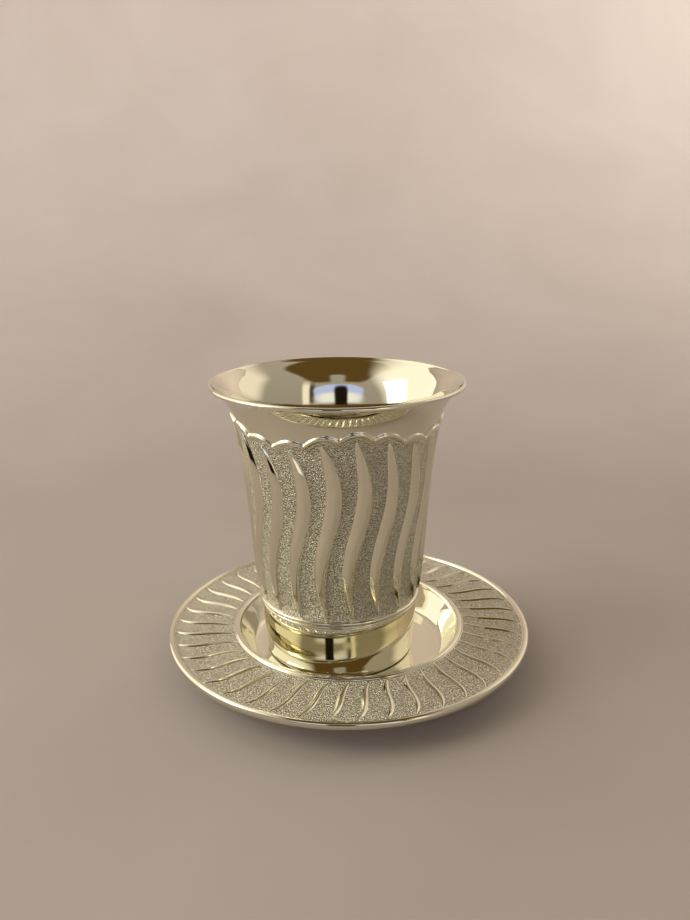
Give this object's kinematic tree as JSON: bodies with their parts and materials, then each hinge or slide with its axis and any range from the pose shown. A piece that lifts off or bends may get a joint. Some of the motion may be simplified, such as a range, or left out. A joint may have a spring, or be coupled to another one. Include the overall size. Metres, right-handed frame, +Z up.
{
  "type": "kiddush cup",
  "caption": "Flared silver cup with swirled flutes and a scalloped moulding, standing in the well of a round ribbed saucer.",
  "frame": {"origin": "middle of the saucer's flat underside, on the table; the cup's axis is 2.8 mm towards -X", "axes": "+Z up along the saucer's axis and the cup's axis, the cup stands off centre towards -X, -Y is the front"},
  "size_m": [0.114, 0.114, 0.0875],
  "materials": {
    "silver": "polished silver, with a fine stippled ground between the flutes and ribs"
  },
  "bodies": {
    "root": {"cup": "silver", "saucer": "silver"}
  },
  "joints": []
}
